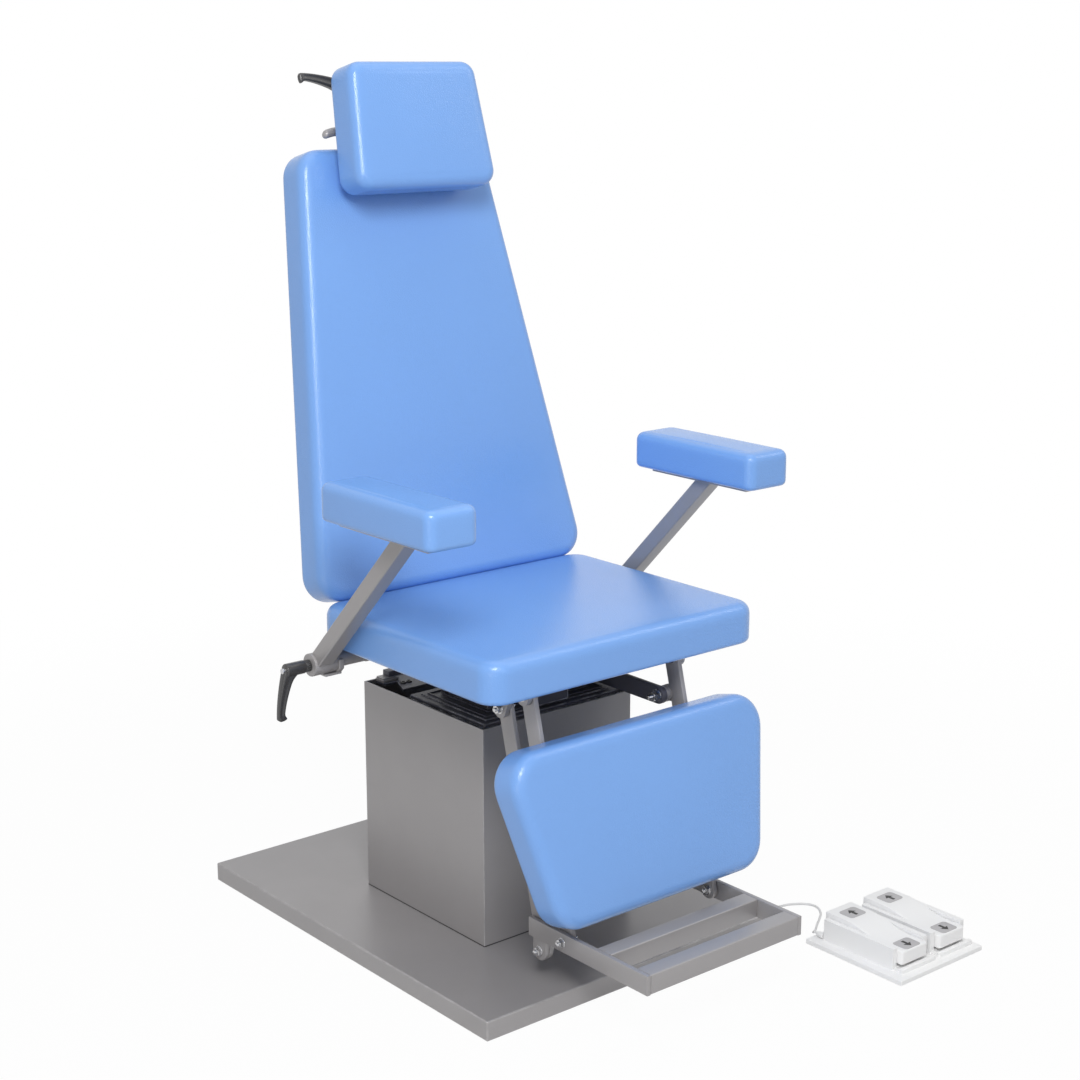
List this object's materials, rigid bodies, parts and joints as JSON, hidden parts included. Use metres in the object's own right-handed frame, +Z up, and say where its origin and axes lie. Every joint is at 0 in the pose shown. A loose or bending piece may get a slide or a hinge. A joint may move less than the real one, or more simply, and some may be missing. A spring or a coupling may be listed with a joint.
{
  "type": "examination chair",
  "caption": "Powered examination chair on a floor base: lifting column, reclining back linked to a rising legrest, level footrest, tilting headrest, swing arms and a foot pedal.",
  "frame": {"origin": "middle of the base plate's underside, on the floor", "axes": "+Z up, the chair faces -Y, the sitter's left is +X"},
  "size_m": [0.8571, 1.017, 1.3711],
  "materials": {
    "vinyl": "satin",
    "grey_paint": "satin",
    "black_paint": "satin",
    "board": "matte",
    "black_plastic": "satin",
    "zinc": "satin",
    "white_plastic": "satin",
    "cord": "matte"
  },
  "bodies": {
    "base": {"base_plate": "grey_paint", "column_casing": "grey_paint", "mouth_bracket": "grey_paint", "limit_switch": "black_plastic", "lift_actuator": "black_paint", "pedal_base": "white_plastic", "pedal_strain_relief": "white_plastic", "pedal_cord": "cord", "cord_gland": "black_plastic"},
    "cover": {"lift_cover_outer": "black_paint"},
    "seat": {"lift_cover_inner": "black_paint", "lift_ram": "zinc", "seat_pedestal": "black_paint", "seat_board": "board", "seat_cushion": "vinyl", "link_bracket_left": "grey_paint", "link_bracket_right": "grey_paint", "tube_bracket_left": "grey_paint", "tube_bracket_right": "grey_paint", "cross_tube": "grey_paint", "recline_actuator": "black_paint"},
    "backrest": {"hinge_sleeve": "grey_paint", "backrest_upright_left": "grey_paint", "backrest_upright_right": "grey_paint", "backrest_crossbar": "grey_paint", "backrest_cushion": "vinyl", "headrest_guide": "grey_paint"},
    "drive_rod": {"recline_rod": "zinc"},
    "headrest_slide": {"headrest_post": "grey_paint", "headrest_rod": "grey_paint"},
    "headrest": {"headrest_bracket": "grey_paint", "headrest_cushion": "vinyl"},
    "headrest_clamp": {"headrest_lever": "black_plastic"},
    "legrest": {"front_link_left": "grey_paint", "front_link_right": "grey_paint", "legrest_crossbar_upper": "grey_paint", "legrest_crossbar_lower": "grey_paint", "legrest_cushion": "vinyl"},
    "parallel_link": {"rear_link": "grey_paint"},
    "footrest": {"footrest_bar_left": "grey_paint", "footrest_bar_right": "grey_paint", "footrest_middle_tube": "grey_paint", "footrest_front_tube": "grey_paint", "footrest_bolt_front_left": "zinc", "footrest_bolt_front_right": "zinc", "footrest_bolt_rear_right": "zinc"},
    "coupling": {"coupling_bar": "black_paint"},
    "arm_left": {"arm_tube_left": "grey_paint", "arm_plate_left": "grey_paint", "arm_cushion_left": "vinyl"},
    "arm_right": {"arm_tube_right": "grey_paint", "arm_plate_right": "grey_paint", "arm_cushion_right": "vinyl"},
    "arm_clamp_left": {"arm_lever_left": "black_plastic"},
    "arm_clamp_right": {"arm_lever_right": "black_plastic"},
    "rocker_left": {"pedal_rocker_left": "white_plastic"},
    "rocker_right": {"pedal_rocker_right": "white_plastic"}
  },
  "joints": [
    {"name": "lift", "type": "slide", "parent": "base", "child": "seat", "axis": [0, 0, 1], "range_m": [0, 0.2]},
    {"name": "cover_stage", "type": "slide", "parent": "base", "child": "cover", "axis": [0, 0, 1], "range_m": [0, 0.1]},
    {"name": "recline", "type": "hinge", "parent": "seat", "child": "backrest", "pos_m": [0, 0.04, 0.4705], "axis": [-1, 0, 0], "range_deg": [0, 65]},
    {"name": "legrest_swing", "type": "hinge", "parent": "seat", "child": "legrest", "pos_m": [0, -0.2822, 0.4685], "axis": [-1, 0, 0], "range_deg": [0, 65]},
    {"name": "rear_link_swing", "type": "hinge", "parent": "seat", "child": "parallel_link", "pos_m": [0, -0.229, 0.436], "axis": [-1, 0, 0], "range_deg": [0, 65]},
    {"name": "footrest_level", "type": "hinge", "parent": "legrest", "child": "footrest", "pos_m": [0, -0.37322, 0.11142], "axis": [-1, 0, 0], "range_deg": [-65, 0]},
    {"name": "coupling_swing", "type": "hinge", "parent": "legrest", "child": "coupling", "pos_m": [0.1307, -0.27422, 0.4095], "axis": [-1, 0, 0], "range_deg": [-65, 0]},
    {"name": "recline_drive", "type": "slide", "parent": "seat", "child": "drive_rod", "axis": [0, -1, 0], "range_m": [0, 0.0664]},
    {"name": "headrest_height", "type": "slide", "parent": "backrest", "child": "headrest_slide", "axis": [0, 0.2346, 0.9721], "range_m": [0, 0.12]},
    {"name": "headrest_tilt", "type": "hinge", "parent": "headrest_slide", "child": "headrest", "pos_m": [0, 0.23937, 1.26386], "axis": [-1, 0, 0], "range_deg": [-8, 25]},
    {"name": "headrest_clamp_turn", "type": "hinge", "parent": "headrest", "child": "headrest_clamp", "pos_m": [-0.075, 0.26236, 1.2948], "axis": [0, -0.2233, -0.9748], "range_deg": [0, 90]},
    {"name": "arm_swing_left", "type": "hinge", "parent": "seat", "child": "arm_left", "pos_m": [0.274, 0.04, 0.4705], "axis": [-1, 0, 0], "range_deg": [-15, 60]},
    {"name": "arm_swing_right", "type": "hinge", "parent": "seat", "child": "arm_right", "pos_m": [-0.274, 0.04, 0.4705], "axis": [-1, 0, 0], "range_deg": [-15, 60]},
    {"name": "arm_clamp_turn_left", "type": "hinge", "parent": "seat", "child": "arm_clamp_left", "pos_m": [0.316, 0.04, 0.4705], "axis": [-1, 0, 0], "range_deg": [-60, 60]},
    {"name": "arm_clamp_turn_right", "type": "hinge", "parent": "seat", "child": "arm_clamp_right", "pos_m": [-0.316, 0.04, 0.4705], "axis": [-1, 0, 0], "range_deg": [-60, 60]},
    {"name": "rocker_tip_left", "type": "hinge", "parent": "base", "child": "rocker_left", "pos_m": [0.4415, -0.5395, 0.027], "axis": [1, 0, 0], "range_deg": [-3, 3], "stiffness_Nm_per_rad": 4},
    {"name": "rocker_tip_right", "type": "hinge", "parent": "base", "child": "rocker_right", "pos_m": [0.3515, -0.5395, 0.027], "axis": [1, 0, 0], "range_deg": [-3, 3], "stiffness_Nm_per_rad": 4}
  ],
  "couplings": [
    {"joint": "cover_stage", "follows": "lift", "ratio": 0.5},
    {"joint": "legrest_swing", "follows": "recline", "ratio": 1},
    {"joint": "rear_link_swing", "follows": "recline", "ratio": 1},
    {"joint": "footrest_level", "follows": "recline", "ratio": -1},
    {"joint": "coupling_swing", "follows": "recline", "ratio": -1},
    {"joint": "recline_drive", "follows": "recline", "m_per_rad": 0.058402}
  ]
}
